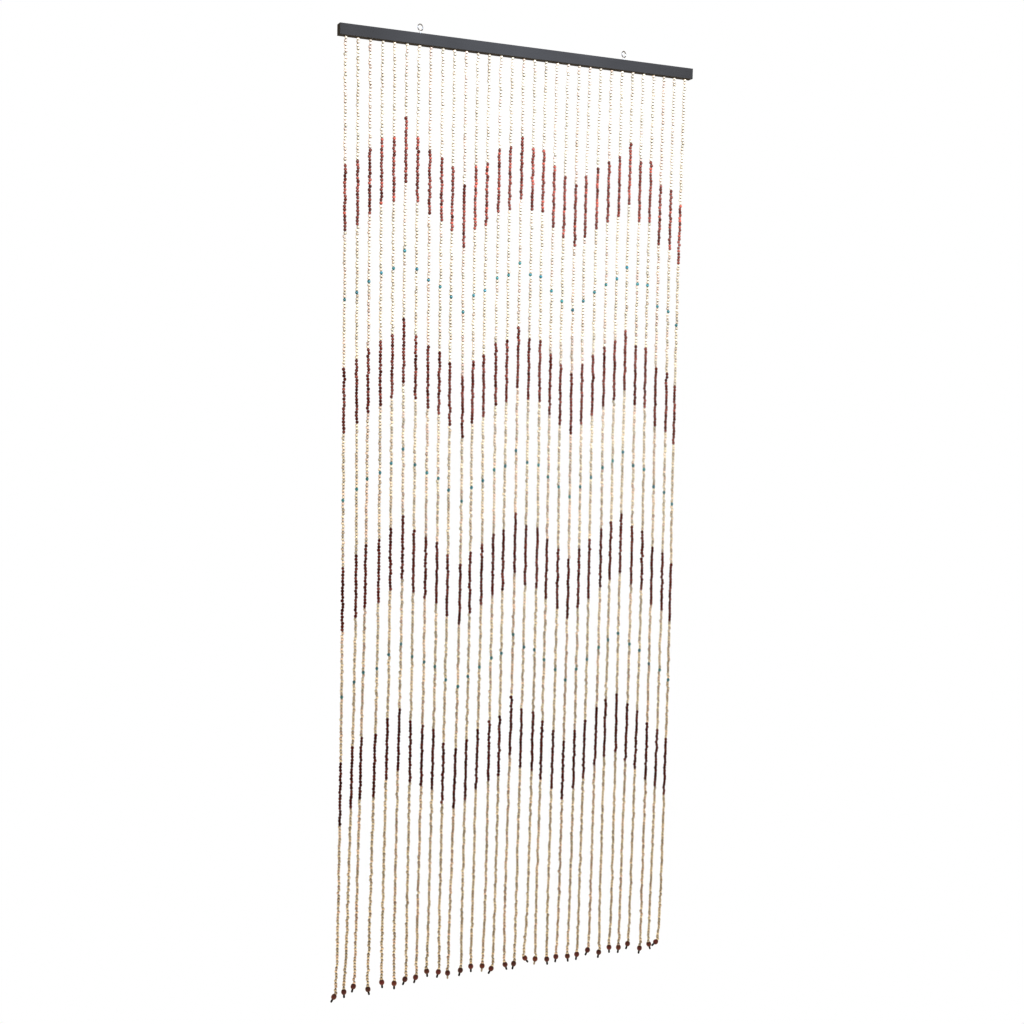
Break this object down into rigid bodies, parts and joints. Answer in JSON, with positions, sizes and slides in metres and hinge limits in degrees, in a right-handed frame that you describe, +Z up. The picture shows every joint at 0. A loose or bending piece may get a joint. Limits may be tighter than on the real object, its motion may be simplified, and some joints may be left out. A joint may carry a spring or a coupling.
{
  "type": "bead curtain with its rail and eye screws",
  "caption": "Doorway bead curtain: rows of small wooden beads on nylon line hang from a painted wooden rail with eye screws, in bands of cream, dark red-brown and turquoise.",
  "frame": {"origin": "midway between the centres of the two eyes, the point from which the curtain hangs", "axes": "+X along the rail, to the right as seen from the front; +Y to the back, towards the wall or the far side of the doorway; +Z up"},
  "size_m": [0.9, 0.02, 2.2425],
  "materials": {
    "charcoal_paint": "charcoal grey satin paint on wood",
    "cream_beads": "pale varnished wood",
    "dark_beads": "dark red-brown stained and varnished wood",
    "turquoise_beads": "turquoise stained and varnished wood",
    "end_beads": "dark red-brown varnished wood",
    "stoppers": "black plastic tube",
    "nylon_line": "clear nylon line",
    "zinc_plated_steel": "bright zinc plating"
  },
  "bodies": {
    "root": {"rail": "charcoal_paint", "bead_strings": "cream_beads", "eye_screw_left": "zinc_plated_steel", "eye_screw_right": "zinc_plated_steel"}
  },
  "joints": []
}
